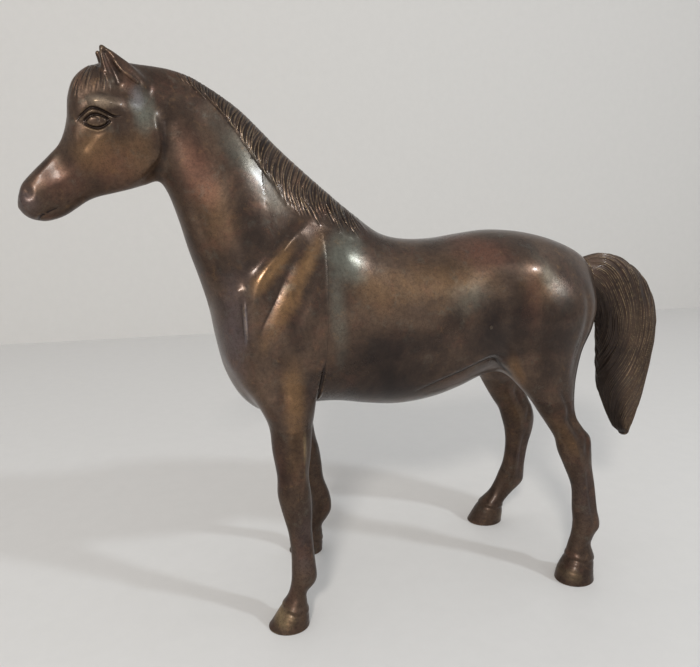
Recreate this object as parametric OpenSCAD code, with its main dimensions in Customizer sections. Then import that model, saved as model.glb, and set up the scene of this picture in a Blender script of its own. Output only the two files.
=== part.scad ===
// Standing bronze horse, cast hollow in sections and joined with spigots, tenons and pins.
// +Z is up, the nose points to -X, the near (left) side faces -Y, and the hooves stand on Z = 0.

/* [Statue] */
// Height from the ground to the tips of the ears
statue_height = 370; // [330:5:410]
// Thickness of the hollow castings
wall = 4; // [3:0.5:5]
// How far the head is carried towards the near side
head_turn = 15; // [0:1:18]

/* [Joints] */
// Diameter of the pins that lock each sleeve joint
pin_d = 3; // [2:0.5:4]
// Length of those pins
pin_len = 7; // [6:0.5:8]
// Diameter of the tenon on top of each leg
tenon_d = 9; // [7:0.5:11]
// Length of the tenon
tenon_len = 15; // [12:1:18]
// Reach of each sleeve into its neighbour, as a share of the station that it enters
sleeve_reach = 0.5; // [0.3:0.1:0.7]
// Gap around sleeves, tenons and pins
gap = 0.05; // [0.03:0.01:0.1]

/* [Tail fixing] */
// Diameter of the stud that holds the tail
stud_d = 5; // [4:0.5:6]
// Length of the stud
stud_len = 32; // [28:1:36]
// Width across the flats of the nut inside the rump
nut_af = 8; // [7:0.5:10]

/* [Core] */
// Diameter of the plug in the belly
plug_d = 12; // [8:1:14]
// Diameter of the rods that held the core
core_pin_d = 2.5; // [2:0.5:4]

/* [Hidden] */

bronze_dark = "#4a2f1c";
bronze_mid = "#6e4524";
bronze_pin = "#9a6b35";
steel_grey = "#70706c";

k = statue_height / 370;
side_pts = 28;
leg_pts = 20;
sub = 2;
$fn = 48;

// Trunk and neck, from the rump forward to the poll. Each station is a slice that fans about
// the withers: [low x, low z, high x, high z, half width, egg]. A negative egg narrows the top.
trunk = [
    [166, 205, 160, 237, 14, -0.1],
    [158, 186, 154, 242, 25, -0.12],
    [148, 171, 145, 247, 33, -0.12],
    [134, 161, 131, 252.5, 38.5, -0.1],
    [114, 154, 114, 257, 42, -0.08],
    [92, 154, 94, 260, 43.5, -0.06],
    [72, 151.5, 74, 260.5, 44, -0.05],
    [50, 144, 53, 258, 44.5, -0.05],
    [28, 138, 32, 255, 45, -0.06],
    [4, 136, 10, 255, 45, -0.08],
    [-20, 138.5, -8, 259.5, 44, -0.14],
    [-40, 142, -24, 270.5, 42.5, -0.24],
    [-58, 142.5, -38, 281.5, 41.5, -0.34],
    [-76, 141, -52, 293, 41, -0.42],
    [-92, 140, -65, 304, 39, -0.46],
    [-105, 151, -78, 315.5, 36, -0.46],
    [-115, 169, -90, 327, 32, -0.42],
    [-120.5, 190, -101, 337, 27.5, -0.36],
    [-124.5, 212, -111, 344, 23.5, -0.3],
    [-129.8, 231, -121, 350, 20.5, -0.26],
    [-136, 250, -131, 355, 18, -0.22],
    [-141.5, 268, -142, 358.3, 16, -0.16],
    [-147.5, 284, -152, 359.5, 15, -0.1]
];

// Head, from the poll down the face to the lips, in the same form
head = [
    [-153, 292, -162, 360.5, 15.5, -0.04],
    [-161, 290.5, -175, 361.5, 16.5, 0],
    [-170, 287.5, -187.5, 358, 17, 0.03],
    [-180, 285, -197, 350.5, 16.5, 0.06],
    [-188, 283, -200.5, 339.5, 15, 0.05],
    [-194, 280.5, -202, 327, 13, 0],
    [-200, 276.5, -206, 314.5, 11.5, -0.05],
    [-206, 272.5, -213.2, 306, 10.5, -0.05],
    [-212, 270, -221.5, 297.5, 10, 0],
    [-218, 269, -228, 290, 10, 0],
    [-223, 271, -230, 284, 8.5, 0]
];
nose_tip = [-230.5, 277];

// Ear rings from the root up: [z, middle x, half depth, half width]
ear_rings = [[345, -168, 8, 6], [353, -171, 6.5, 5.5], [360, -174.5, 4.5, 4], [366, -177.8, 2.4, 2.2]];

// Station numbers where the trunk is parted
girth_cut = 12;
neck_cut = 18;
cavity_end = len(trunk) + 4;

// Tail, from its seat on the rump down to the tip, in the same form
tail_stations = [
    [169.5, 208, 160.5, 238.5, 10, 0],
    [173.5, 200, 177, 241.5, 10.5, 0],
    [175.5, 194, 193, 238, 11, 0],
    [176.5, 188, 207.5, 229.5, 12, 0],
    [177, 181, 219.5, 219, 13, 0],
    [178, 172, 229.5, 205, 14, 0],
    [179.5, 162, 233, 188, 15, 0],
    [180, 151, 232.5, 170, 15, 0],
    [180.8, 141, 230.5, 152, 14.5, 0],
    [184, 130, 228.5, 135, 13, 0],
    [189.5, 118, 226, 120, 11, 0],
    [196, 105, 221.5, 106, 8, 0],
    [207, 94, 220, 94.5, 4.5, 0]
];
tail_tip = [214, 88.5];

// Legs, from inside the trunk down to the sole: [z, front x, back x, half width, sideways place]
near_fore = [
    [182, -112, -57, 16, 22],
    [166, -106, -57, 16, 27],
    [152, -99, -60, 15.5, 32],
    [136, -92.5, -64, 13.5, 34.5],
    [120, -91, -65.5, 11.5, 36],
    [103, -88.5, -67.5, 9.5, 37.5],
    [90, -88.5, -66.5, 9.5, 38.5],
    [78, -86, -66, 8, 39.5],
    [64, -82.5, -66.5, 6.5, 41],
    [50, -81, -65.5, 6.3, 42],
    [38, -81, -64.5, 7.2, 43],
    [30, -81.5, -64.8, 7.4, 44],
    [22, -83.5, -71, 6.4, 44.5],
    [16, -87, -71.5, 8, 45],
    [8, -92.5, -70.5, 10.5, 46],
    [0, -98, -70.5, 12, 46.5]
];
far_fore = [
    [182, -106, -50, 16, 22],
    [166, -99, -48, 16, 27],
    [152, -90, -47, 15.5, 32],
    [136, -79.5, -49, 13.5, 34.5],
    [120, -74, -48, 11.5, 36],
    [103, -67, -45.5, 9.5, 37.5],
    [90, -64, -42, 9.5, 38.5],
    [78, -60, -40, 8, 39.5],
    [64, -54, -38, 6.5, 41],
    [50, -48.5, -33, 6.3, 42],
    [40, -47.5, -31.2, 7.2, 43],
    [32, -48.5, -32.5, 7.4, 44],
    [22, -51.5, -38.5, 6.4, 44.5],
    [16, -55, -38.5, 8, 45],
    [8, -60.5, -38, 10.5, 46],
    [0, -65.5, -38.5, 12, 46.5]
];
near_hind = [
    [226, 95, 150, 19, 19],
    [207, 80, 156, 25, 19.5],
    [190, 76, 155, 26, 19.5],
    [175, 78, 149.5, 24.5, 20.5],
    [162, 84, 144, 21.5, 23],
    [150, 92, 139.5, 18, 27],
    [138, 101.5, 136, 14, 32],
    [126, 109, 135.5, 11, 35.5],
    [116, 115.5, 141, 9.8, 37.5],
    [108, 120, 148, 9.6, 39],
    [98, 122.5, 149, 9.4, 40.5],
    [86, 127.5, 149, 8.4, 42.5],
    [70, 133.5, 151, 7.4, 44.5],
    [54, 133.8, 153, 7.4, 46.5],
    [42, 134.5, 155, 8.2, 48],
    [33, 133, 150, 7.6, 49],
    [26, 130.5, 148, 7.6, 49.5],
    [18, 128, 150, 9.6, 50.3],
    [8, 122, 149.5, 12, 51.3],
    [0, 120, 149.5, 13, 52]
];
far_hind = [
    [226, 95, 150, 19, 19],
    [207, 80, 156, 25, 19.5],
    [190, 76, 155, 26, 19.5],
    [175, 78, 149.5, 24.5, 20.5],
    [162, 83, 143, 21.5, 23],
    [150, 88, 138, 18, 27],
    [138, 95, 134, 14, 32],
    [126, 103.5, 136.5, 11, 35.5],
    [116, 110.5, 142, 9.8, 37.5],
    [108, 116.5, 147, 9.6, 39],
    [98, 121, 150.5, 9.4, 40.5],
    [86, 125.5, 151, 8.4, 42.5],
    [72, 128, 148, 7.4, 44.5],
    [56, 127.7, 146, 7.4, 46.5],
    [44, 124.5, 145.5, 8.2, 48],
    [35, 121, 146, 7.8, 49],
    [27, 116.5, 139, 7.8, 49.5],
    [18, 108.5, 130, 9.8, 50.3],
    [8, 102.5, 129.5, 12, 51.3],
    [0, 98.5, 129, 13, 52]
];

// Height where each fore and hind leg is parted from the trunk
fore_cut = 136;
hind_cut = 138;

// Smooth curve through rows of numbers, at row i plus the fraction t
function row(rows, i) = rows[max(0, min(len(rows) - 1, i))];
function blend(rows, i, t) =
    let (a = row(rows, i - 1), b = row(rows, i), c = row(rows, i + 1), d = row(rows, i + 2))
    0.5 * (2 * b + (c - a) * t + (2 * a - 5 * b + 4 * c - d) * t * t
    + (3 * b - a - 3 * c + d) * t * t * t);
function at(rows, s) = blend(rows, floor(s), s - floor(s));

// Sideways carriage of the neck and head: it starts at the withers and grows to the poll
function turn(x) =
    let (d = -60 - x, near = min(max(d, 0), 100), far = max(d - 100, 0))
    -head_turn * (near * near / 10000 + 2 * far / 100) * 0.48;

// One slice of the trunk, head or tail, drawn in by an inset
function slice(s, inset) =
    let (dx = s[2] - s[0], dz = s[3] - s[1], full = norm([dx, dz]),
        long = full / 2 - inset, wide = s[4] - inset)
    [for (i = [0 : side_pts - 1])
        let (a = 360 * i / side_pts, x = (s[0] + s[2]) / 2 + dx / full * long * cos(a),
            z = (s[1] + s[3]) / 2 + dz / full * long * cos(a))
        [x, turn(x) + wide * sin(a) * (1 + s[5] * cos(a)), z] * k];

// One slice of a leg, on its own side of the horse
function leg_slice(s, side) =
    [for (i = [0 : leg_pts - 1])
        let (a = 360 * i / leg_pts)
        [(s[1] + s[2]) / 2 + (s[2] - s[1]) / 2 * cos(a), side * s[4] + s[3] * sin(a), s[0]] * k];

// Closed skin over a list of slices that all have the same number of points. Ends are flat,
// or meet in a point; a ring of slices closes on itself.
function sides(n, first, last, wrap) =
    [for (j = [first : last], i = [0 : n - 1])
        let (a = j * n + i, b = j * n + (i + 1) % n, c = (wrap && j == last ? first : j + 1) * n)
        [a, b, c + (i + 1) % n, c + i]];
function halves(quads) = [for (q = quads, h = [0, 1]) h == 0 ? [q[0], q[1], q[2]] : [q[0], q[2], q[3]]];
function cap(n, j, tip, flip) =
    [for (i = [0 : n - 1])
        let (a = j * n + i, b = j * n + (i + 1) % n)
        flip ? [tip, b, a] : [tip, a, b]];
function middle(loop) = [for (a = [0 : 2]) [for (p = loop) p[a]] * [for (p = loop) 1] / len(loop)];

// Slices all turned the way that makes the skin face outwards
function loop_normal(loop) = cross(loop[1] - loop[0], loop[floor(len(loop) / 2)] - loop[0]);
function outward(slices) =
    loop_normal(slices[0]) * (middle(slices[1]) - middle(slices[0])) > 0
    ? [for (s = slices) [for (i = [len(s) - 1 : -1 : 0]) s[i]]] : slices;

module skin(stack, start = undef, end = undef) {
    slices = outward(stack);
    n = len(slices[0]);
    m = len(slices);
    points = concat([for (s = slices, p = s) p], [
        is_undef(start) ? middle(slices[0]) : start,
        is_undef(end) ? middle(slices[m - 1]) : end
    ]);
    polyhedron(points, concat(
        halves(sides(n, 0, m - 2, false)),
        cap(n, 0, m * n, true),
        cap(n, m - 1, m * n + 1, false)
    ));
}

module ring_skin(stack) {
    slices = outward(stack);
    n = len(slices[0]);
    polyhedron([for (s = slices, p = s) p], halves(sides(n, 0, len(slices) - 1, true)));
}

// Stations between two numbers, with the steps between them
function run(rows, from, to) =
    let (n = max(1, ceil(abs(to - from) * sub)))
    [for (i = [0 : n]) at(rows, from + (to - from) * i / n)];
function slices(stations, inset) = [for (s = stations) slice(s, inset)];

body = concat(trunk, head);
sleeve_gap = wall + gap;
sleeve_in = wall + gap + 3;

// How far the girth sleeve is rooted inside its own casting, in stations
sleeve_root = 0.5;

// Number of the row where a leg is parted at height z
function seam_row(rows, z) = [for (j = [0 : len(rows) - 1]) if (rows[j][0] == z) j][0];

// Solid stretch of a leg between two of its rows
module leg_stretch(rows, from, to, side) {
    skin([for (s = run(rows, from, to)) leg_slice(s, side)]);
}

// Centre of a leg at its seam: [x, y]
function seam_mid(rows, z) =
    let (i = seam_row(rows, z))
    [(rows[i][1] + rows[i][2]) / 2, rows[i][4]];

module tenon(rows, z, side, extra) {
    c = seam_mid(rows, z);
    translate([c[0], side * c[1], z - 1] * k)
        cylinder(d = tenon_d + 2 * extra, h = tenon_len + k + extra);
}

// Cross pin through a tenon, pushed in from the outside of the leg
module cross_pin(rows, z, side, extra) {
    c = seam_mid(rows, z);
    reach = 11;
    translate([c[0] * k, side * (c[1] * k - tenon_d / 2 - 1.5), (z + 7) * k])
        rotate([side * -90, 0, 0])
            cylinder(d = pin_d + 2 * extra, h = tenon_d / 2 + reach + extra);
}

module leg(rows, z, side) {
    difference() {
        union() {
            leg_stretch(rows, seam_row(rows, z), len(rows) - 1, side);
            tenon(rows, z, side, 0);
        }
        cross_pin(rows, z, side, gap);
    }
}

module stub(rows, z, side) {
    leg_stretch(rows, 0, seam_row(rows, z), side);
}

module sockets(near, far, z) {
    tenon(near, z, -1, gap);
    tenon(far, z, 1, gap);
    cross_pin(near, z, -1, gap);
    cross_pin(far, z, 1, gap);
}

// Straight pins that lock a sleeve from both sides, at [x, z] with the skin at y
module side_pins(x, z, y, d, length) {
    for (side = [-1, 1])
        translate([x * k, side * (y * k - length), z * k])
            rotate([side * -90, 0, 0])
                cylinder(d = d, h = length);
}

module neck_pins(extra) {
    translate([0, turn(-120) * k, 0])
        side_pins(-119, 262, 20, pin_d + 2 * extra, pin_len + extra);
}

module girth_pins(extra) {
    side_pins(-53, 190, 40, pin_d + 2 * extra, pin_len + extra);
    side_pins(-49, 232, 36, pin_d + 2 * extra, pin_len + extra);
}

module core_rods(extra) {
    for (x = [0, 60])
        side_pins(x, 196, 44, core_pin_d + 2 * extra, 6 + extra);
}

module stud(extra) {
    translate([148 * k, 0, 223 * k])
        rotate([0, 90, 0])
            cylinder(d = stud_d + 2 * extra, h = stud_len * k + extra);
}

module plug(extra) {
    translate([20 * k, 0, 136.7 * k + 0.6 - extra])
        cylinder(d = plug_d + 2 * extra, h = wall + extra);
}

module head_and_neck() {
    color(bronze_mid)
    difference() {
        union() {
            skin(concat(
                slices(run(body, len(body) - 1, neck_cut), 0),
                slices(run(body, neck_cut, neck_cut - sleeve_reach), sleeve_gap),
                slices(run(body, neck_cut - sleeve_reach, cavity_end), sleeve_in)
            ), start = [nose_tip[0], turn(nose_tip[0]), nose_tip[1]] * k);
            ear(-1);
            ear(1);
        }
        neck_pins(gap);
    }
}

// Ear leaning forward over the forehead
module ear(side) {
    y = turn(-172) + side * 9;
    skin([
        for (r = ear_rings)
            [for (i = [0 : 11])
                let (a = 30 * i, lean = side * 0.15 * (r[0] - ear_rings[0][0]))
                [r[1] + r[2] * cos(a), y + lean + r[3] * sin(a), r[0]] * k]
    ], end = [-179.5, y + side * 3, 370] * k);
}

module forehand() {
    color(bronze_mid)
    difference() {
        union() {
            ring_skin(concat(
                slices(run(body, neck_cut, girth_cut), 0),
                slices(run(body, girth_cut, neck_cut), wall)
            ));
            stub(near_fore, fore_cut, -1);
            stub(far_fore, fore_cut, 1);
        }
        sockets(near_fore, far_fore, fore_cut);
        neck_pins(gap);
        girth_pins(gap);
    }
}

module barrel_and_quarters() {
    color(bronze_mid)
    difference() {
        union() {
            skin(concat(
                slices(run(body, 0, girth_cut), 0),
                slices(run(body, girth_cut, girth_cut + sleeve_reach), sleeve_gap),
                slices(run(body, girth_cut + sleeve_reach, girth_cut - sleeve_root), sleeve_in),
                slices(run(body, girth_cut - sleeve_root, 1), wall)
            ));
            stub(near_hind, hind_cut, -1);
            stub(far_hind, hind_cut, 1);
        }
        sockets(near_hind, far_hind, hind_cut);
        girth_pins(gap);
        core_rods(gap);
        stud(gap);
        plug(gap);
    }
}

module near_fore_leg() {
    color(bronze_dark) leg(near_fore, fore_cut, -1);
}

module far_fore_leg() {
    color(bronze_dark) leg(far_fore, fore_cut, 1);
}

module near_hind_leg() {
    color(bronze_dark) leg(near_hind, hind_cut, -1);
}

module far_hind_leg() {
    color(bronze_dark) leg(far_hind, hind_cut, 1);
}

module tail() {
    color(bronze_dark)
    difference() {
        skin(
            slices(run(tail_stations, 0, len(tail_stations) - 1), 0),
            end = [tail_tip[0], 0, tail_tip[1]] * k
        );
        stud(gap);
    }
}

module tail_stud() {
    color(steel_grey) stud(0);
}

module tail_nut() {
    color(steel_grey)
    translate([149.5 * k, 0, 223 * k])
        rotate([0, 90, 0])
            difference() {
                cylinder(d = nut_af / cos(30), h = 4, $fn = 6);
                translate([0, 0, -1]) cylinder(d = stud_d + 2 * gap, h = 6);
            }
}

module tail_washer() {
    color(steel_grey)
    translate([149.5 * k + 4, 0, 223 * k])
        rotate([0, 90, 0])
            difference() {
                cylinder(d = nut_af * 1.5, h = 1);
                translate([0, 0, -1]) cylinder(d = stud_d + 2 * gap, h = 3);
            }
}

module neck_joint_pins() {
    color(bronze_pin) neck_pins(0);
}

module girth_joint_pins() {
    color(bronze_pin) girth_pins(0);
}

module fore_leg_pins() {
    color(bronze_pin) {
        cross_pin(near_fore, fore_cut, -1, 0);
        cross_pin(far_fore, fore_cut, 1, 0);
    }
}

module hind_leg_pins() {
    color(bronze_pin) {
        cross_pin(near_hind, hind_cut, -1, 0);
        cross_pin(far_hind, hind_cut, 1, 0);
    }
}

module core_pins() {
    color(bronze_pin) core_rods(0);
}

module belly_core_plug() {
    color(bronze_pin) plug(0);
}

head_and_neck();
forehand();
barrel_and_quarters();
near_fore_leg();
far_fore_leg();
near_hind_leg();
far_hind_leg();
tail();
tail_stud();
tail_nut();
tail_washer();
neck_joint_pins();
girth_joint_pins();
fore_leg_pins();
hind_leg_pins();
core_pins();
belly_core_plug();
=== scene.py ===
"""Bronze horse statuette: the sculpted castings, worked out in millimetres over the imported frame.

+X runs towards the tail, -Y is the near side, +Z is up. Each casting starts as smooth skins
through stations, gets its muscles, hair and folds, and is parted on the same planes as the CAD.
The heights and places of the relief are given in the side view, in x and z.
"""
import math
import bmesh
import bpy
import numpy as np
import openvdb as vdb
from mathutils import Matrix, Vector


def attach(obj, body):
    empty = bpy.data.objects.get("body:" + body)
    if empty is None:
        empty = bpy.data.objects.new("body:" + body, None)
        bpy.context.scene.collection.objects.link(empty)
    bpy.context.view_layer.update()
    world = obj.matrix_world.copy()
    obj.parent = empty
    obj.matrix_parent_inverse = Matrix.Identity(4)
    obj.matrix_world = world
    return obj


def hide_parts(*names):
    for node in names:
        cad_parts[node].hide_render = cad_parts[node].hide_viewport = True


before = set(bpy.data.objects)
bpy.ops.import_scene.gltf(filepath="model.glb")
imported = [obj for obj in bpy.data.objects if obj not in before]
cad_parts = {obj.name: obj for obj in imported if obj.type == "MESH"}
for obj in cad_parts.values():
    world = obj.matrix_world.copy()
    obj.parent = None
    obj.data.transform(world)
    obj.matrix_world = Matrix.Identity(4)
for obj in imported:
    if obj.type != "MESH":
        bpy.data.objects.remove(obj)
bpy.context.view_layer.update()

MM = 0.001
NEAR, FAR = -1, 1
LEFT, RIGHT = 1, -1

# ---- stations
# Trunk and neck: [low x, low z, high x, high z, half width, egg]
TRUNK = [
    [166, 205, 160, 237, 14, -.1], [156.5, 186, 154, 242, 25, -.12], [147, 171, 145, 247, 33, -.12],
    [134, 161, 131, 252.5, 38.5, -.1], [114, 154, 114, 257, 42, -.08], [92, 154, 94, 260, 43.5, -.06],
    [72, 152.5, 74, 260.5, 44, -.05], [50, 144, 53, 258, 44.5, -.05], [28, 138, 32, 255, 45, -.06],
    [4, 136, 10, 255, 45, -.08], [-20, 138.5, -8, 259.5, 44, -.14], [-40, 142, -24, 270.5, 42.5, -.24],
    [-58, 142.5, -38, 281.5, 41.5, -.34], [-76, 141, -52, 293, 41, -.42],
    [-92.5, 139.5, -65, 304, 39, -.46], [-106.2, 150, -78, 315.5, 36, -.46],
    [-116.2, 168.6, -90, 327, 32, -.42], [-121.5, 190, -101, 337, 27.5, -.36],
    [-125.4, 212, -111, 344, 23.5, -.3], [-130.7, 231, -121, 350, 20.5, -.26],
    [-136.8, 250, -131, 355, 18, -.22], [-141.8, 268.4, -142, 358.3, 16, -.16],
    [-147.3, 284.6, -152, 359.5, 15, -.1],
]
# Head, from the poll down to the lips
HEAD = [
    [-152.7, 292.2, -162, 360, 15.5, -.04], [-161, 290.2, -175, 360.6, 16.5, 0],
    [-170, 287.5, -186.8, 357, 17, .03], [-180, 285, -196.3, 350, 16.5, .06],
    [-188, 283, -200.5, 339.5, 15, .05], [-194, 280.5, -202, 327, 13, 0],
    [-200, 276.5, -206, 314.5, 11.5, -.05], [-206, 272.5, -213.2, 306, 10.5, -.05],
    [-212, 270, -221.5, 297.5, 10, 0], [-218, 269, -228, 290, 10, 0], [-223, 271, -230, 284, 8.5, 0],
]
NOSE_TIP = (-230.5, 277)
# Tail, from its seat on the rump down to the tip
TAIL = [
    [169.5, 208, 160.5, 238.5, 10, 0], [173.5, 200, 177, 241.5, 10.5, 0],
    [176, 194, 193, 238, 11, 0], [177.5, 188, 207.3, 229.5, 12, 0], [179, 181, 218.6, 219, 13, 0],
    [180.6, 172, 227.8, 205, 14, 0], [182, 162, 231.2, 188, 15, 0], [182.4, 151, 230.4, 170, 15, 0],
    [183.2, 141, 228.3, 152, 14.5, 0], [186.4, 130, 226, 135, 13, 0], [191.8, 118, 223.3, 120, 11, 0],
    [197.4, 106, 219.6, 107, 8.5, 0], [203, 96.5, 217.6, 97.5, 6.5, 0], [208.5, 91.3, 216.8, 92, 4, 0],
]
TAIL_TIP = (213, 88.3)
# Points round a ring of the tail, rings, locks and clumps in a radian, stretches of hair down it
TAIL_SIDES, TAIL_RINGS, LOCKS, CLUMPS, STRETCHES = 380, 236, 14, 4.1, 13
# Heel of the tail, let into the rump: direction out of the rump, depth and size beside the first ring
TAIL_WAY, TAIL_HEEL, HEEL_SIZE = (.959, 0, .283), 6.0, .92


def far_leg(near, rows):
    """Rows of a far leg, each ending as the near leg's row does"""
    return [[*row, *beside[len(row):]] for row, beside in zip(rows, near)]


# Legs: [z, front x, back x, half width, sideways place]
NEAR_FORE = [
    [194, -96, -72, 7, 16], [182, -112, -57, 16, 22], [166, -106, -57, 16, 27], [152, -99, -60, 15.5, 32],
    [136, -92.5, -64, 13.5, 34.5], [120, -91, -65.5, 11.5, 36], [103, -88.5, -67.5, 9.5, 37.5],
    [90, -88.5, -66.5, 9.5, 38.5], [78, -86, -66, 8, 39.5], [64, -82.5, -66.5, 6.5, 41],
    [50, -81, -65.5, 6.3, 42], [38, -81, -64.5, 7.2, 43], [30, -81.5, -64.8, 7.4, 44],
    [22, -83.5, -71, 6.4, 44.5], [16, -87, -71.5, 8, 45], [8, -92.5, -70.5, 10.5, 46],
    [0, -98, -70.5, 12, 46.5],
]
FAR_FORE = far_leg(NEAR_FORE, [
    [194, -90, -64], [182, -106, -50], [166, -99, -48], [152, -90, -47], [136, -79.5, -49],
    [120, -74, -48], [103, -67, -45.5], [90, -64, -42], [78, -60, -40], [64, -54, -38],
    [50, -48.5, -33], [40, -47.5, -31.2], [32, -48.5, -32.5], [22, -51.5, -38.5], [16, -55, -38.5],
    [8, -60.5, -38], [0, -65.5, -38.5],
])
NEAR_HIND = [
    [238, 112, 134, 6, 13], [222, 93, 148, 18, 18], [207, 80, 155, 25, 19.5], [190, 76, 153.5, 26, 19.5],
    [175, 78, 147.5, 24.5, 20.5], [162, 84, 143, 21.5, 23], [150, 92, 139, 18, 27],
    [138, 101.5, 136, 14, 32], [126, 109, 135.5, 11, 35.5], [116, 115.5, 141, 9.8, 37.5],
    [108, 120, 148, 9.6, 39], [98, 122.5, 149, 9.4, 40.5], [86, 127.5, 149, 8.4, 42.5],
    [70, 133.5, 151, 7.4, 44.5], [54, 133.8, 153, 7.4, 46.5], [42, 134.5, 155, 8.2, 48],
    [33, 133, 150, 7.6, 49], [26, 130.5, 148, 7.6, 49.5], [18, 128, 150, 9.6, 50.3],
    [8, 122, 149.5, 12, 51.3], [0, 120, 149.5, 13, 52],
]
FAR_HIND = far_leg(NEAR_HIND, [
    [238, 112, 134], [222, 93, 148], [207, 80, 155], [190, 76, 153.5], [175, 78, 147.5], [162, 83, 142],
    [150, 88, 137.5], [138, 95, 134], [126, 103.3, 136.5], [116, 110.5, 142], [108, 116.5, 147],
    [98, 121, 150.5], [86, 125.5, 151], [72, 128, 148.5], [56, 127.7, 147.5], [44, 124.5, 148],
    [35, 121, 147.5, 7.8], [27, 116.5, 139, 7.8], [18, 108.5, 130, 9.8], [8, 102.5, 129.5],
    [0, 98.5, 129],
])
# Bend of the neck: where it starts, over what length, its depth and how much of that is used
BEND_START, BEND_LENGTH, BEND_DEPTH, BEND_SHARE = -60, 100, 15, .48
# Where the castings part: station numbers of the trunk, heights of the legs
NECK_CUT, GIRTH_CUT = 18, 12
FORE_CUT, HIND_CUT = 136, 138
# Rings of a skin from one station to the next, and points round a ring
BODY_PARTS, BODY_SIDES, LEG_PARTS, LEG_SIDES = 8, 160, 6, 96
# Grid steps of the castings' clay
HEAD_STEP, FOREHAND_STEP, BARREL_STEP, LEG_STEP = .42, .5, .62, .45
# Surface of the clay: grid steps kept each side of it, and the share of a step its slope is taken over
MESH_BAND, SLOPE_REACH = 3, .6
# Slivers: rounds of unfolding, and how much of a face has to look outward
FOLD_ROUNDS, FOLD_SHARE = 8, .6
# Edges and swellings, which take wear, and hollows, which are darkened: reach of the comparison and the
# bulge that counts in full
PROUD_REACH, PROUD_FULL, SWELL_REACH, SWELL_FULL = .9, .10, 3.6, .55


def turn(x):
    """Sideways carriage of the neck and head, which bend a little to the near side"""
    d = BEND_START - np.asarray(x, float)
    near = np.clip(d, 0, BEND_LENGTH)
    far = np.clip(d - BEND_LENGTH, 0, None)
    return -BEND_DEPTH * (near * near / BEND_LENGTH ** 2 + 2 * far / BEND_LENGTH) * BEND_SHARE


def spread(rows, parts, first=0.0, last=None):
    """Smooth curve through rows of numbers, in steps of 1/parts of a row"""
    rows = np.array(rows, float)
    last = len(rows) - 1 if last is None else last
    s = np.linspace(first, last, max(2, int(round((last - first) * parts)) + 1))
    i = np.minimum(np.floor(s).astype(int), len(rows) - 1)
    t = (s - i)[:, None]
    p = [rows[np.clip(i + k, 0, len(rows) - 1)] for k in (-1, 0, 1, 2)]
    return 0.5 * (2 * p[1] + (p[2] - p[0]) * t + (2 * p[0] - 5 * p[1] + 4 * p[2] - p[3]) * t ** 2
                  + (3 * p[1] - p[0] - 3 * p[2] + p[3]) * t ** 3)


def body_ring(s):
    a = np.linspace(0, 2 * np.pi, BODY_SIDES, endpoint=False)
    x = (s[0] + s[2]) / 2 + (s[2] - s[0]) / 2 * np.cos(a)
    z = (s[1] + s[3]) / 2 + (s[3] - s[1]) / 2 * np.cos(a)
    return np.stack([x, turn(x) + s[4] * np.sin(a) * (1 + s[5] * np.cos(a)), z], 1)


def leg_ring(s, side):
    a = np.linspace(0, 2 * np.pi, LEG_SIDES, endpoint=False)
    x = (s[1] + s[2]) / 2 + (s[2] - s[1]) / 2 * np.cos(a)
    return np.stack([x, side * s[4] + s[3] * np.sin(a), np.full(LEG_SIDES, s[0])], 1)


def closed_skin(rings, end=None):
    """Points, four-sided and three-sided faces of a closed skin over a stack of rings"""
    n, m = len(rings[0]), len(rings)
    end = rings[-1].mean(0) if end is None else end
    points = np.vstack(rings + [[rings[0].mean(0)], [end]])
    i = np.arange(n)
    j = (i + 1) % n
    quads = [np.stack([k * n + i, k * n + j, (k + 1) * n + j, (k + 1) * n + i], 1) for k in range(m - 1)]
    caps = [np.stack([j, i, np.full(n, n * m)], 1),
            np.stack([(m - 1) * n + i, (m - 1) * n + j, np.full(n, n * m + 1)], 1)]
    return points, np.vstack(quads), np.vstack(caps)


# ---- shaping
def tilted(x, z, centre, tilt):
    """Places along and across a form in the side view; tilt in degrees lifts its +X end"""
    ca, sa = math.cos(math.radians(tilt)), math.sin(math.radians(tilt))
    dx, dz = x - centre[0], z - centre[-1]
    return dx * ca + dz * sa, dz * ca - dx * sa


def read(items, name, width, kind=float):
    """One value or vector for each vertex, loop or face of a mesh"""
    data = np.empty(width * len(items), kind)
    items.foreach_get(name, data)
    return data


def joined(a, b, blend):
    """Two shapes run together, rounded where they meet"""
    h = np.clip(blend - np.abs(a - b), 0, None)
    return np.minimum(a, b) - h * h / (4 * blend)


def carved(a, b, blend):
    """The second shape cut out of the first"""
    h = np.clip(blend - np.abs(a + b), 0, None)
    return np.maximum(a, -b) + h * h / (4 * blend)


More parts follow.
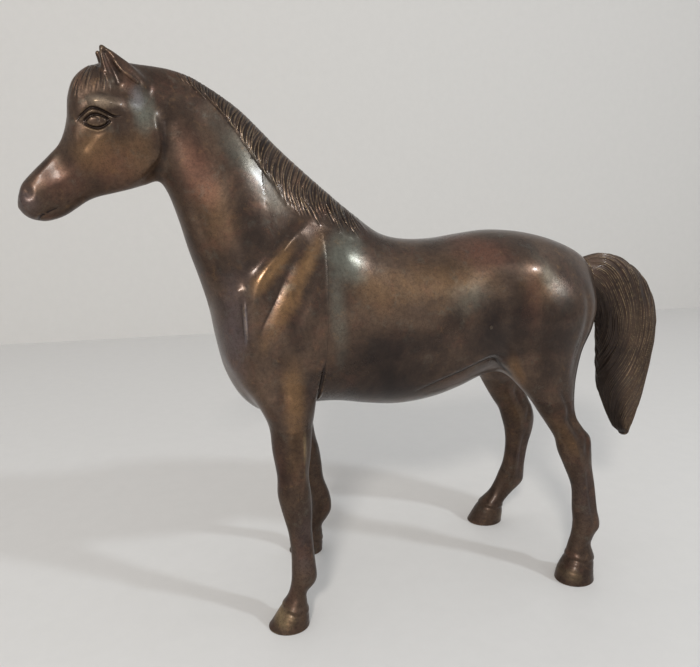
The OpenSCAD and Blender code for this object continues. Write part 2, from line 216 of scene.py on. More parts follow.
class Clay:
    """Distance to the surface on a grid, in millimetres, negative inside the bronze"""

    def __init__(self, low, high, step, band, thrift):
        """band: how far off the surface it reaches; thrift: how freely the mesher merges faces"""
        self.step, self.band, self.thrift = step, band, thrift
        self.first = np.floor(np.array(low) / self.step).astype(int)
        last = np.ceil(np.array(high) / self.step).astype(int)
        self.shape = tuple(last - self.first + 1)
        self.axes = [(self.first[i] + np.arange(self.shape[i])) * self.step for i in range(3)]
        self.d = np.full(self.shape, band, np.float32)

    def skin(self, shell, blend):
        """Adds a closed skin: points, four-sided and three-sided faces"""
        points, quads, caps = shell
        grid = vdb.FloatGrid.createLevelSetFromPolygons(
            points.astype(np.float32), triangles=caps.astype(np.uint32), quads=quads.astype(np.uint32),
            transform=vdb.createLinearTransform(voxelSize=self.step), halfWidth=self.band / self.step)
        part = np.full(self.shape, self.band, np.float32)
        grid.copyToArray(part, ijk=tuple(int(v) for v in self.first))
        self.d = joined(self.d, part, blend)

    def around(self, low, high):
        """The part of the grid in a box, with its x, y and z"""
        cuts = []
        for i in range(3):
            a = int(np.clip(np.searchsorted(self.axes[i], low[i]), 0, self.shape[i]))
            b = int(np.clip(np.searchsorted(self.axes[i], high[i]), a, self.shape[i]))
            cuts.append(slice(a, b))
        x, y, z = (self.axes[i][cuts[i]] for i in range(3))
        return tuple(cuts), x[:, None, None], y[None, :, None], z[None, None, :]

    def blob(self, centre, radii, blend, tilt=0):
        """Egg of three radii"""
        c, r = np.array(centre, float), np.array(radii, float)
        reach = r.max() + blend + 1
        box, x, y, z = self.around(c - reach, c + reach)
        u, w = tilted(x, z, c, tilt)
        v = y - c[1]
        k0 = np.sqrt((u / r[0]) ** 2 + (v / r[1]) ** 2 + (w / r[2]) ** 2)
        k1 = np.sqrt((u / r[0] ** 2) ** 2 + (v / r[1] ** 2) ** 2 + (w / r[2] ** 2) ** 2)
        self.d[box] = joined(self.d[box], (k0 * (k0 - 1) / np.maximum(k1, 1e-6)).astype(np.float32), blend)

    def limb(self, path, blend, cut=False, flat=1.0):
        """Tube through [x, y, z, radius] rows; flat < 1 thins it sideways"""
        rows = spread(path, 5)
        reach = rows[:, 3].max() + blend + 1
        low, high = rows[:, :3].min(0) - reach, rows[:, :3].max(0) + reach
        box, x, y, z = self.around(low, high)
        part = np.full(self.d[box].shape, 99, np.float32)
        for a, b in zip(rows[:-1], rows[1:]):
            g = b[:3] - a[:3]
            g[1] /= flat
            px, py, pz = x - a[0], (y - a[1]) / flat, z - a[2]
            t = np.clip((px * g[0] + py * g[1] + pz * g[2]) / max(g @ g, 1e-9), 0, 1)
            gap = np.sqrt((px - t * g[0]) ** 2 + (py - t * g[1]) ** 2 + (pz - t * g[2]) ** 2)
            part = np.minimum(part, (gap - a[3] - t * (b[3] - a[3])) * min(flat, 1))
        self.d[box] = (carved if cut else joined)(self.d[box], part, blend)

    def relief(self, heights, side, middle=None, soft=5.0, low=(-999,) * 3, high=(999,) * 3):
        """Lifts one side of the casting by heights(x, z), full height a little way off its middle"""
        box, x, y, z = self.around(low, high)
        if self.d[box].size == 0:
            return
        h = heights(x[:, 0], z[0])
        centre = turn(x) if middle is None else middle
        t = np.clip(side * (y - centre) / soft, 0, 1)
        self.d[box] -= (h[:, None, :] * t * t * (3 - 2 * t)).astype(np.float32)

    def mesh(self, name):
        """Mesh of the surface, which also carries how far each spot stands proud"""
        reach = MESH_BAND * self.step
        grid = vdb.FloatGrid(reach)
        grid.transform = vdb.createLinearTransform(voxelSize=self.step)
        values = np.clip(self.d, -reach, reach).astype(np.float32)
        grid.copyFromArray(values, ijk=tuple(int(v) for v in self.first), tolerance=0)
        grid.gridClass = vdb.GridClass.LEVEL_SET
        points, triangles, quads = grid.convertToPolygons(isovalue=0, adaptivity=self.thrift)
        triangles, quads = triangles[:, ::-1].astype(int), quads[:, ::-1].astype(int)
        points = self.settled(points.astype(float), triangles, quads)
        mesh = bpy.data.meshes.new(name)
        mesh.from_pydata((points * MM).tolist(), [], triangles.tolist() + quads.tolist())
        mesh.update()
        mesh.shade_smooth()
        store(mesh, "proud", self.bulge(points, PROUD_REACH) / PROUD_FULL)
        store(mesh, "swell", self.bulge(points, SWELL_REACH) / SWELL_FULL)
        return mesh

    def settled(self, points, triangles, quads):
        """Unfolds slivers left by the mesher: their corners move among their neighbours, on the surface"""
        tris = np.vstack([triangles, quads[:, [0, 1, 2]], quads[:, [0, 2, 3]]])
        links = np.vstack([tris[:, [0, 1]], tris[:, [1, 2]], tris[:, [2, 0]]])
        for _ in range(2):
            points = points - np.clip(self.at(points), -.3, .3)[:, None] * self.slope(points)
        for _ in range(FOLD_ROUNDS):
            a, b, c = (points[tris[:, k]] for k in range(3))
            face = np.cross(b - a, c - a)
            facing = (face * self.slope((a + b + c) / 3)).sum(1)
            folded = facing < FOLD_SHARE * np.linalg.norm(face, axis=1)
            if not folded.any():
                break
            moving = np.zeros(len(points), bool)
            moving[tris[folded]] = True
            near = links[moving[links[:, 0]]]
            total = np.stack([np.bincount(near[:, 0], points[near[:, 1], k], len(points))
                              for k in range(3)], 1)
            count = np.bincount(near[:, 0], minlength=len(points))
            spot = total[moving] / count[moving, None]
            points[moving] = spot - self.at(spot)[:, None] * self.slope(spot)
        return points

    def slope(self, points):
        """Unit direction in which the distance grows"""
        reach = SLOPE_REACH * self.step
        rise = np.stack([self.at(points + reach * way) - self.at(points - reach * way)
                         for way in np.eye(3)], 1)
        return rise / (np.linalg.norm(rise, axis=1)[:, None] + 1e-9)

    def shade(self, mesh):
        """Gives a mesh the normals of the surface itself; the flat faces of a cut keep their own"""
        normal = self.slope(read(mesh.vertices, "co", 3).reshape(-1, 3) / MM)
        corner = read(mesh.loops, "vertex_index", 1, np.int32)
        smooth = read(mesh.polygons, "use_smooth", 1, bool)
        sides = read(mesh.polygons, "loop_total", 1, np.int32)
        mesh.normals_split_custom_set((normal[corner] * np.repeat(smooth, sides)[:, None]).tolist())

    def bulge(self, points, reach):
        """Mean distance a little way round each point: above zero on proud spots, below in hollows"""
        ways = [(i, j, k) for i in (-1, 0, 1) for j in (-1, 0, 1) for k in (-1, 0, 1)
                if abs(i) + abs(j) + abs(k) in (1, 3)]
        total = 0
        for way in ways:
            total = total + self.at(points + np.array(way) * reach / math.sqrt(np.abs(way).sum()))
        return total / len(ways)

    def at(self, points):
        """Distance at any points, between the grid's"""
        p = points / self.step - self.first
        p = np.clip(p, 0, np.array(self.shape) - 1.001)
        i = p.astype(int)
        f = p - i
        total = 0
        for a, b, c in np.ndindex(2, 2, 2):
            w = (f[:, 0] if a else 1 - f[:, 0]) * (f[:, 1] if b else 1 - f[:, 1])
            w = w * (f[:, 2] if c else 1 - f[:, 2])
            total = total + w * self.d[i[:, 0] + a, i[:, 1] + b, i[:, 2] + c]
        return total


# ---- lines and patches in the side view
def near_line(path, x, z, smooth=4):
    """Distance to a line, which side of it, and how far along it"""
    rows = spread(path, smooth)
    best = np.full(np.broadcast(x, z).shape, 1e9)
    side = np.ones(best.shape)
    along = np.zeros(best.shape)
    done = 0.0
    for a, b in zip(rows[:-1], rows[1:]):
        gx, gz = b[0] - a[0], b[1] - a[1]
        size = math.hypot(gx, gz) or 1e-6
        t = np.clip(((x - a[0]) * gx + (z - a[1]) * gz) / size ** 2, 0, 1)
        gap = np.hypot(x - a[0] - t * gx, z - a[1] - t * gz)
        better = gap < best
        best = np.where(better, gap, best)
        side = np.where(better, np.sign(gx * (z - a[1]) - gz * (x - a[0])), side)
        along = np.where(better, done + t * size, along)
        done += size
    return best, side, along, done


def ends(along, total, taper):
    """0 at both ends of a line, 1 between"""
    return np.clip(along / taper, 0, 1) * np.clip((total - along) / taper, 0, 1)


def near_part(x, z, path, reach):
    """The part of the side view that a line can touch"""
    p = np.array(path, float)[:, :2]
    i = np.searchsorted(x[:, 0], (p[:, 0].min() - reach, p[:, 0].max() + reach))
    j = np.searchsorted(z[0], (p[:, 1].min() - reach, p[:, 1].max() + reach))
    return slice(i[0], i[1]), slice(j[0], j[1])


def along_line(x, z, path, reach, profile):
    h = np.zeros(np.broadcast(x, z).shape)
    cut = near_part(x, z, path, reach)
    if h[cut].size:
        h[cut] = profile(*near_line(path, x[cut[0]], z[:, cut[1]]))
    return h


def ridge(x, z, path, height, width, taper):
    """Raised line, or a sunk one with a height below zero"""
    return along_line(x, z, path, 3 * width, lambda gap, side, along, total:
                      height * np.exp(-(gap / width) ** 2) * ends(along, total, taper))


def ledge(x, z, path, height, sharp, fade, taper, hand=LEFT):
    """Step along a line: full height at the line, easing away on its left or right side"""
    def profile(gap, side, along, total):
        s = gap * side * hand
        step = 1 / (1 + np.exp(-np.clip(s / sharp, -30, 30)))
        return height * step * np.exp(-(np.clip(s, 0, None) / fade) ** 2) * ends(along, total, taper)
    return along_line(x, z, path, 2.4 * fade, profile)


def patch(x, z, centre, radii, height, tilt=0):
    u, w = tilted(x, z, centre, tilt)
    return height * np.exp(-(u / radii[0]) ** 2 - (w / radii[1]) ** 2)


def dome(x, z, centre, radii, height, tilt=0):
    u, w = tilted(x, z, centre, tilt)
    return height * np.sqrt(np.clip(1 - (u / radii[0]) ** 2 - (w / radii[1]) ** 2, 0, None))


def relief_of(forms):
    """Heights of a list of forms, each one of these functions with what it takes after x and z:
    ridge: path, height, width, taper; ledge: path, height, sharpness, fade, taper, hand;
    patch and dome: centre, radii, height, tilt
    """
    return lambda x, z: sum(form(x, z, *numbers) for form, *numbers in forms)


def locks(x, z, guides, count, height, width, seed, wave):
    """Locks of hair laid between guide lines: every lock is its own raised, wavering line"""
    rng = np.random.default_rng(seed)
    guides = np.array([spread(g, 8) for g in guides])
    steps = guides.shape[1]
    h = np.zeros(np.broadcast(x, z).shape)
    for k in range(count):
        f = (k + 0.5 + rng.uniform(-.22, .22)) / count * (len(guides) - 1)
        i = min(int(f), len(guides) - 2)
        line = guides[i] + (guides[i + 1] - guides[i]) * (f - i)
        t = np.linspace(0, 1, steps)
        sway = wave * np.sin(2 * np.pi * (t * rng.uniform(.7, 1.2) + rng.uniform(0, 1)))
        across = guides[i + 1] - guides[i]
        across /= np.linalg.norm(across, axis=1)[:, None] + 1e-9
        line = line + across * sway[:, None]
        keep = max(3, int(steps * rng.uniform(.8, 1)))
        tall, wide = height * rng.uniform(.5, 1.35), width * rng.uniform(.8, 1.2)
        cut = near_part(x, z, line, 3 * wide)
        if not h[cut].size:
            continue
        gap, side, along, total = near_line(line[:keep], x[cut[0]], z[:, cut[1]], smooth=1)
        body = tall * np.exp(-(gap / wide) ** 2) * np.clip((total - along) / 9 + .1, .1, 1)
        h[cut] = np.maximum(h[cut], body)
    return h


# ---- relief of the head
LID = [(-194, 324.2), (-190.9, 327.3), (-188.3, 329.3), (-185.4, 330), (-181.2, 328.7), (-176.4, 326.2)]
UPPER_RIM = [(-191.8, 324), (-189.4, 326.6), (-186.6, 328.2), (-183, 328), (-178, 325.7)]
LOWER_RIM = [(-191.8, 323.8), (-189.3, 322), (-184.5, 320.9), (-180.2, 322.8), (-177.2, 325.6)]
LID_FOLD = [(-196, 323.8), (-194, 326.4), (-191, 329.4), (-187.8, 331.8), (-184.2, 331.7), (-180, 330),
            (-175.4, 327.8), (-170.6, 328.4)]
BROW = [(-188.6, 333.8), (-184.8, 335.6), (-180.5, 336), (-176.6, 334.6), (-174.2, 331.4)]
JAW_EDGE = [(-153, 334), (-151, 322), (-150.6, 312.3), (-152.2, 305.5), (-157.9, 297.7),
            (-164, 292), (-173, 288.5)]

face = relief_of([
    (patch, (-185.5, 325.6), (9.5, 5.2), -1.2, 10),
    (dome, (-184.6, 324.9), (5.4, 3.1), 1.5, 8),
    (ridge, [(-187.2, 326.4), (-185.6, 327.2), (-183.9, 326.2), (-183.9, 324)], -.3, .45, 1),
    (ridge, LID, .85, .85, 3),
    (ridge, UPPER_RIM, -.75, .6, 1),
    (ridge, LOWER_RIM, -.85, .65, 1),
    (ridge, [(x0 + .3, z0 - 1.7) for x0, z0 in LOWER_RIM], .45, .9, 4),
    (ridge, LID_FOLD, -1.05, .62, 5),
    (ridge, BROW, 1.5, 2.6, 4),
    (patch, (-181.5, 335), (7.5, 3.2), 1.2, -6),
    (ridge, [(-174, 320), (-182.1, 315.9), (-187, 310), (-191.5, 304.3), (-196, 300)], .75, 3, 8),
    (ridge, [(-198.5, 320), (-196.7, 312.9), (-193.2, 304.3)], .45, 2.4, 7),
    (patch, (-190.5, 312.5), (2.8, 5.5), -.6, -35),
    (patch, (-181, 301), (10, 4), -.5, 30),
    (patch, (-206, 299), (10, 5), -1.1, 40),
    (ridge, [(-203.5, 322), (-206.5, 312), (-213.5, 301.5), (-219.2, 295), (-223.5, 290)], .4, 2.2, 8),
    (ledge, JAW_EDGE, 2.3, .7, 10, 12, RIGHT),
    (patch, (-167, 309), (13, 14), 1.1),
    (patch, (-161, 336), (8, 6), -1, -20),
    (ridge, [(-172, 343), (-165, 341), (-159, 336)], .6, 2.8, 6),
])

muzzle = relief_of([
    (patch, (-220.9, 285.2), (2.8, 5.2), .25, 15),
    (patch, (-224.4, 285.4), (2.6, 3.6), -1.25, 25),
    (ridge, [(-222.5, 267), (-219.8, 271.2), (-216.4, 273.4)], -.9, .9, 1),
    (ridge, [(-217.5, 272.8), (-213, 275.2), (-208, 277.4)], -.45, .8, 3),
    (ridge, [(-224, 274.5), (-219, 276.5), (-212, 279)], .35, 2.0, 4),
    (patch, (-213, 271.5), (5, 2.4), .5),
])


def forelock(x, z):
    guides = [
        [(-189, 357), (-195, 351.5), (-198.5, 344), (-199.5, 335.5)],
        [(-186.5, 357), (-190.5, 350), (-192.8, 343), (-194, 335)],
        [(-184, 356), (-186, 350), (-187.6, 343.5), (-188.5, 338)],
        [(-181.5, 354.5), (-181.5, 349), (-181.8, 343.5), (-183, 338.5)],
        [(-178.5, 351.5), (-177, 347), (-176.4, 342.5), (-177.5, 338.5)],
    ]
    return locks(x, z, guides, 21, .55, .55, 4, .3)


# ---- relief of the neck and mane
MANE_GUIDES = [
    [(-149, 363), (-148, 360), (-146.5, 357.5), (-144.7, 355), (-143.5, 353.5)],
    [(-141, 361.5), (-141, 358), (-139.5, 355), (-137, 352), (-135, 349.5)],
    [(-131.5, 359), (-133, 354.5), (-132, 350.5), (-129, 346.5), (-127, 343.5)],
    [(-121.5, 355.5), (-124, 350), (-123.5, 345.5), (-120.5, 341.5), (-118, 338.5)],
    [(-111, 349), (-115, 342.5), (-115, 337), (-111.5, 332.5), (-108.5, 329.5)],
    [(-100.5, 339.5), (-106, 332), (-106.5, 326), (-103, 321.5), (-99.5, 318)],
    [(-91, 330), (-97, 321), (-98, 313), (-94.5, 307), (-91.8, 303)],
    [(-80, 319), (-86.5, 310), (-88.5, 301), (-86.5, 295.5), (-83.5, 291)],
    [(-70, 309), (-75.5, 300.5), (-77.5, 292.5), (-76.5, 286), (-75.5, 277.5)],
    [(-60, 300.5), (-64.5, 292.5), (-66, 285), (-64.5, 276.5), (-62.5, 266.5)],
    [(-50, 291.5), (-53, 285), (-53, 278.5), (-50.5, 271), (-48.5, 263)],
    [(-40, 282.5), (-41.5, 277.5), (-40.5, 271), (-38, 264), (-36.5, 257.5)],
    [(-31, 275), (-31.5, 271), (-30, 265.5), (-27.5, 260), (-26, 255.5)],
    [(-22, 268.8), (-22, 266), (-20.5, 262.5), (-18.5, 258.5), (-17.5, 255.5)],
]


def mane(x, z, depth=1.0):
    """Hair within the mane's edge, a little proud of the neck, and fainter hair just outside it"""
    edge = [g[-1] for g in MANE_GUIDES]
    gap, side, along, total = near_line(edge, x, z)
    inside = 1 / (1 + np.exp(-np.clip(side * gap / 0.6, -30, 30)))
    fade = np.clip(along / 8, 0, 1) * np.clip((total - along) / 16, 0, 1)
    near_edge = np.exp(-(gap / 9) ** 2)
    hairy = fade / (1 + np.exp(-np.clip((side * gap + 1.5) / 0.8, -30, 30)))
    hair = np.maximum(locks(x, z, MANE_GUIDES, 70, .95, .62, 11, .5),
                      locks(x, z, MANE_GUIDES, 46, 1, .6, 23, 1.6))
    hair = np.where(hair > 0, hair * np.clip(.4 + (crest(x) - z) / 7, .25, 1), 0)
    return depth * (inside * fade * (.6 * near_edge - .3) + hair * (.08 + .92 * hairy))


def far_mane(x, z):
    """Short fringe on the side that the mane doesn't hang to"""
    return mane(x, z + 5, .7) * np.clip((z - crest(x) + 12) / 5, 0, 1)


def crest(x):
    """Height of the top of the neck and back"""
    rows = np.array(TRUNK)
    return np.interp(-np.asarray(x), -rows[:, 2], rows[:, 3])

neck_lines = relief_of([
    (ledge, [(-149, 337), (-148.8, 322), (-149.3, 309), (-153, 299), (-158, 292)], -1.9, 1.2, 9, 10),
    (ridge, [(-141, 288), (-135, 263), (-128, 243), (-121.5, 224)], .7, 3.4, 14),
    (ridge, [(-134, 284), (-127, 260), (-119.5, 240), (-113, 226)], -1, 3.4, 14),
    (patch, (-108, 292), (13, 26), .9, -25),
    (patch, (-126, 322), (12, 16), -.6, -30),
])


# ---- relief of the shoulder, barrel and quarters
SHOULDER_FRONT = [(-56, 277), (-69, 266), (-80, 255.5), (-92.5, 243.5), (-101, 233.5), (-105.5, 223),
                  (-106.3, 209), (-105.3, 195), (-102, 183)]
SHOULDER_GROOVE = [(-66, 262), (-72.5, 249.7), (-80.1, 235.3), (-88.8, 217.2), (-97.5, 200.9),
                   (-102.5, 188)]
SEAM = [(-53.6, 265.5), (-52.2, 250), (-53, 231), (-54.6, 207), (-55.8, 184), (-57.6, 165),
        (-60, 152), (-62.5, 142)]

shoulder = relief_of([
    (ledge, SHOULDER_FRONT, 1.9, 1.5, 9, 20),
    (ridge, [(-72.3, 262.3), (-81, 250), (-92, 237), (-98, 225), (-100.8, 213), (-101, 202)],
     1.0, 3.6, 14),
    (ridge, [(-106.8, 222), (-106.6, 212), (-106, 202), (-105, 193)], .8, 1, 6),
    (ridge, SHOULDER_GROOVE, -.6, 3.2, 24),
    (ridge, SHOULDER_GROOVE[2:], -.32, 1.2, 24),
    (ridge, [(-60, 262), (-67, 243), (-75, 226), (-84, 209), (-93, 194), (-99, 178)], .8, 6, 24),
    (ridge, [(-58, 250), (-65, 228), (-75, 206), (-84, 186), (-89, 168)], -.7, 4.6, 20),
    (ledge, SEAM, .45, 1.7, 8, 26, RIGHT),
    (patch, (-40, 246), (12, 14), 1.7),
    (ridge, SEAM, -.22, .9, 14),
    (ridge, [(-56.5, 181), (-58, 167), (-60, 155), (-62.5, 142)], -1.4, 1.4, 10),
    (patch, (-111.5, 236), (6, 11), -.8, 28),
    (ridge, [(-117, 220), (-112, 224.5), (-105.5, 229)], 1.1, 2.8, 5),
    (ridge, [(-112.5, 218), (-112, 206), (-109.5, 193)], -.8, 2.8, 8),
    (ridge, [(-97, 197), (-101, 188), (-101, 176), (-97, 160), (-92, 142)], 1, 3.4, 12),
    (ridge, [(-90, 180), (-86, 166), (-83.5, 150), (-83, 130)], -1.1, 3.2, 14),
    (ridge, [(-73, 184), (-71.5, 168), (-73, 150), (-75, 130)], 1, 4.6, 14),
    (patch, (-72, 196), (11, 14), .9, -30),
])

BELLY_FOLD = [(8, 151.5), (16, 156), (26.5, 160.8), (40.5, 166), (52.6, 170.8), (61.7, 174.2), (68, 174),
              (75.7, 167.8), (84.6, 160.5), (91, 153)]

quarters = relief_of([
    (ledge, BELLY_FOLD, 1.4, .7, 9, 16),
    (ridge, [(x0, z0 - 1.4) for x0, z0 in BELLY_FOLD], -.5, .8, 14),
    (ridge, [(76, 184), (82, 177), (86.3, 168.7), (89, 160), (93, 148)], .9, 2.6, 9),
    (patch, (65, 214), (15, 20), -1.8, 12),
    (patch, (98, 236), (17, 11), 1.3),
    (ridge, [(84, 226), (79, 208), (77, 192), (80, 178)], -.7, 7, 16),
    (patch, (105, 196), (15, 22), 1.3, 10),
    (ridge, [(136, 226), (139, 206), (136, 184), (131, 164), (128, 146)], -1, 3.6, 22),
    (ridge, [(116, 152), (121, 140), (127, 126), (134, 112)], -.7, 2.4, 10),
    (ridge, [(104, 168), (111, 150), (119, 136), (126, 122)], .8, 3.2, 12),
    (patch, (-4, 205), (26, 30), .6),
])


# ---- relief of the legs
def relief_on_leg(forms, rows):
    """Relief of forms placed on a leg by their height and how far they lie from its front to its back"""
    r = np.array(rows)[::-1]

    def place(z, part):
        front, back = np.interp(z, r[:, 0], r[:, 1]), np.interp(z, r[:, 0], r[:, 2])
        return front + (back - front) * part, z

    return relief_of([(form, [place(*p) for p in where] if form is ridge else place(*where), *numbers)
                      for form, where, *numbers in forms])


FORE_LEG = [
    (ridge, [(136, .50), (122, .46), (112, .44), (100, .48)], -1.5, 2.6, 12),
    (ridge, [(136, .74), (122, .74), (110, .76), (96, .8)], 1.3, 1.9, 10),
    (ridge, [(134, .24), (122, .26), (110, .24)], .7, 2.4, 10),
    (patch, (107, .34), (4, 6), -.8),
    (patch, (93, .34), (5.5, 8), 1),
    (patch, (92, .8), (3, 5), .8),
    (ridge, [(100, .6), (92, .58), (84, .6)], -.8, 1.7, 7),
    (ridge, [(84, .64), (72, .60), (58, .58), (46, .60), (36, .64)], -.7, 2.0, 14),
    (ridge, [(80, .86), (66, .84), (50, .84), (38, .86)], .7, 1.8, 12),
    (patch, (35, .42), (4, 5), .7),
    (patch, (36, .85), (3, 3.5), .6),
    (patch, (25, .62), (4, 3.5), -.7),
]
HIND_LEG = [
    (ridge, [(138, .66), (128, .6), (116, .6), (104, .62)], -1.4, 2.2, 12),
    (ridge, [(136, .9), (124, .86), (112, .88), (100, .9)], .9, 1.8, 9),
    (ridge, [(136, .42), (124, .36), (110, .34), (98, .36), (86, .38)], 1.1, 2.2, 12),
    (ridge, [(118, .12), (106, .14), (94, .18)], -.6, 1.6, 8),
    (patch, (100, .42), (4, 7), .5),
    (patch, (103, .7), (2.6, 7), -1.0),
    (ridge, [(92, .62), (76, .56), (62, .56), (50, .60), (40, .64)], -1, 2.0, 14),
    (ridge, [(88, .86), (70, .84), (54, .84), (42, .86)], .7, 1.8, 14),
    (patch, (38, .42), (4, 5), .7),
    (patch, (40, .86), (3, 4), .7),
    (patch, (28, .6), (4, 3), -.7),
]


def hoof(clay, rows, side, crown_front, crown_back):
    """Crown band above the hoof wall, faint growth rings and the flat sole"""
    front, back, yc = rows[-1][1], rows[-1][2], side * rows[-1][4]
    box, x, y, z = clay.around((front - 8, yc - 20, -2), (back + 12, yc + 20, 34))
    part = np.clip((x - front) / (back - front), 0, 1.1)
    crown = crown_front + (crown_back - crown_front) * part
    wave = .35 * np.sin(.55 * x + .3 * y)
    h = 0.38 * np.exp(-((z - crown - .6 + wave) / 1.5) ** 2)
    h -= 0.30 * np.exp(-((z - crown + 1.9 + wave) / 1.2) ** 2)
    for ring in (.3, .5, .7):
        h -= 0.08 * np.exp(-((z - ring * crown + .5 * wave) / 0.6) ** 2)
    h += 0.2 * np.exp(-(z / 1.2) ** 2)
    clay.d[box] -= h.astype(np.float32)
    clay.d[box] = np.maximum(clay.d[box], (.02 - z).astype(np.float32))


# ---- castings as clay
def body_skin(first, last, nose=False):
    rings = [body_ring(s) for s in spread(TRUNK + HEAD, BODY_PARTS, first, last)]
    tip = (NOSE_TIP[0], float(turn(NOSE_TIP[0])), NOSE_TIP[1]) if nose else None
    return closed_skin(rings, end=tip)


def leg_skin(rows, side, first=0, last=None):
    return closed_skin([leg_ring(s, side) for s in spread(rows, LEG_PARTS, first, last)])


def row_at(rows, z):
    return [r[0] for r in rows].index(z)


def both_sides(clay, relief, **limits):
    for side in (NEAR, FAR):
        clay.relief(relief, side, **limits)


def trunk_relief(clay):
    both_sides(clay, neck_lines, high=(-90, 999, 999))
    both_sides(clay, shoulder, high=(-20, 999, 999))
    both_sides(clay, quarters, low=(-60, -999, -999))
    clay.relief(mane, NEAR, soft=2.5, high=(-2, 999, 999))
    clay.relief(far_mane, FAR, soft=2.5, high=(-2, 999, 999))


# Ear: [x, how far out, z, radius] of its leaf, inner ridge, hollow and outer rim
EAR_LEAF = [(-164, 0, 346, 7.6), (-168.6, .5, 352, 6.8), (-173, 1, 357.2, 5.1), (-176.6, 1.4, 362, 3.1)]
EAR_FRONT = [(-175.8, .6, 348.5, 3.4), (-178.4, 1.2, 355, 2.3), (-179.6, 1.4, 361, 1.5)]
EAR_HOLLOW = [(-172.6, 6.6, 347.5, 1.8), (-174, 6, 353, 2.5), (-176.3, 4.9, 358.5, 1.9),
              (-178.4, 3.2, 363, .6)]
EAR_RIM = [(-161.5, 6.2, 347.2, .4), (-165.6, 6.1, 350.4, .6), (-169.8, 5.4, 353.8, .4),
           (-173.2, 4, 358.2, .1)]


def ear(clay, side):
    """Leaf-shaped ear leaning forward, with a shallow hollow on its outer face"""
    root = float(turn(-172)) + side * 8.6
    back, x, z = (0, -179.9, 367) if side == NEAR else (-2.2, -183.4, 367.6)

    def limb(rows, tip=(), **limits):
        path = [(px + back, root + out * side, pz, r) for px, out, pz, r in rows]
        clay.limb(path + list(tip), **limits)

    limb(EAR_LEAF, [(x, root + side, z - .9, .9)], blend=3.2, flat=.72)
    limb(EAR_FRONT, [(x, root + side, z - 1.4, .7)], blend=2.4)
    limb(EAR_HOLLOW, blend=2.6, cut=True)
    limb(EAR_RIM, blend=2.6)


def head_clay():
    """Head and neck, with the lips, brows, ears and everything cut into them"""
    clay = Clay((-234, -44, 206), (-108, 30, 371), HEAD_STEP, 6, .008)
    clay.skin(body_skin(13.5, 33, nose=True), 1)
    v = float(turn(-222))
    clay.blob((-222.2, v, 278.4), (8.3, 9.2, 8.3), 3)
    for side in (NEAR, FAR):
        clay.blob((-183, float(turn(-183)) + side * 10.5, 331), (11, 5.2, 6), 5, 10)
    both_sides(clay, face, high=(-140, 999, 999))
    both_sides(clay, muzzle, high=(-200, 999, 999))
    both_sides(clay, forelock, soft=3, high=(-165, 999, 999))
    trunk_relief(clay)
    for side in (NEAR, FAR):
        ear(clay, side)
    return clay


def trunk_clay(low, high, step, stations, legs, leg_end):
    """Part of the trunk between two stations, with its legs' upper ends down to a height"""
    clay = Clay(low, high, step, 9, .01)
    clay.skin(body_skin(*stations), 1)
    for rows, side in legs:
        clay.skin(leg_skin(rows, side, 0, row_at(rows, leg_end)), 9)
    trunk_relief(clay)
    return clay


def leg_clay(rows, side, cut, forms, upper, crown):
    """A leg below its cut; the relief of the trunk above it runs on over its top"""
    start, r, lines = row_at(rows, cut), np.array(rows), relief_on_leg(forms, rows)
    low = (r[start:, 1].min() - 4, side * 42 - 26, -2)
    high = (r[start:, 2].max() + 4, side * 42 + 26, cut + 6)
    clay = Clay(low, high, LEG_STEP, 4, .008)
    clay.skin(leg_skin(rows, side, start - 2), 1)
    places = np.interp(clay.axes[2], r[::-1, 0], r[::-1, 4])[None, None, :]

    def fade(z):
        return np.clip((cut + 2 - z) / 14, 0, 1)

    clay.relief(lambda x, z: lines(x, z) * fade(z) + upper(x, z), side, middle=side * places, soft=3)
    clay.relief(lambda x, z: .8 * lines(x, z) * fade(z), -side, middle=side * places, soft=3)
    hoof(clay, rows, side, *crown)
    return clay


# ---- parting into castings
def part(mesh, point, normal, where=None):
    """Keeps what lies behind the plane and closes the cut; where picks the faces that take part"""
    bm = bmesh.new()
    bm.from_mesh(mesh)
    verts = [v for v in bm.verts if where is None or where(v.co / MM)]
    chosen = set(verts)
    faces = [f for f in bm.faces if all(v in chosen for v in f.verts)]
    edges = {e for f in faces for e in f.edges}
    bmesh.ops.bisect_plane(bm, geom=verts + list(edges) + faces, dist=1e-7, plane_co=Vector(point) * MM,
                           plane_no=Vector(normal), clear_outer=True)
    rim = [e for e in bm.edges if e.is_boundary]
    filled = bmesh.ops.holes_fill(bm, edges=rim, sides=0)["faces"]
    for f in filled:
        f.smooth = False
        for e in f.edges:
            e.smooth = False
    bmesh.ops.triangulate(bm, faces=filled)
    bm.to_mesh(mesh)
    bm.free()
    return mesh


def station_plane(rows, number):
    """Point and normal of the plane of a station; the normal faces the tail"""
    low_x, low_z, high_x, high_z = rows[number][:4]
    span = math.hypot(high_x - low_x, high_z - low_z)
    point = ((low_x + high_x) / 2, 0, (low_z + high_z) / 2)
    return point, ((high_z - low_z) / span, 0, -(high_x - low_x) / span)


def flip(plane):
    point, normal = plane
    return point, tuple(-v for v in normal)


def finish_piece(mesh, name, node, material, clay=None):
    bm = bmesh.new()
    bm.from_mesh(mesh)
    bmesh.ops.recalc_face_normals(bm, faces=bm.faces)
    bm.to_mesh(mesh)
    bm.free()
    if clay:
        clay.shade(mesh)
    mesh.materials.append(material)
    piece = placed(name, mesh)
    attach(piece, "root")
    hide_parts(node)


def store(mesh, name, value):
    """Keeps a number from -1 to 1 at each point, for the material"""
    data = mesh.attributes.new(name, "FLOAT", "POINT").data
    data.foreach_set("value", np.clip(value, -1, 1).astype(np.float32))


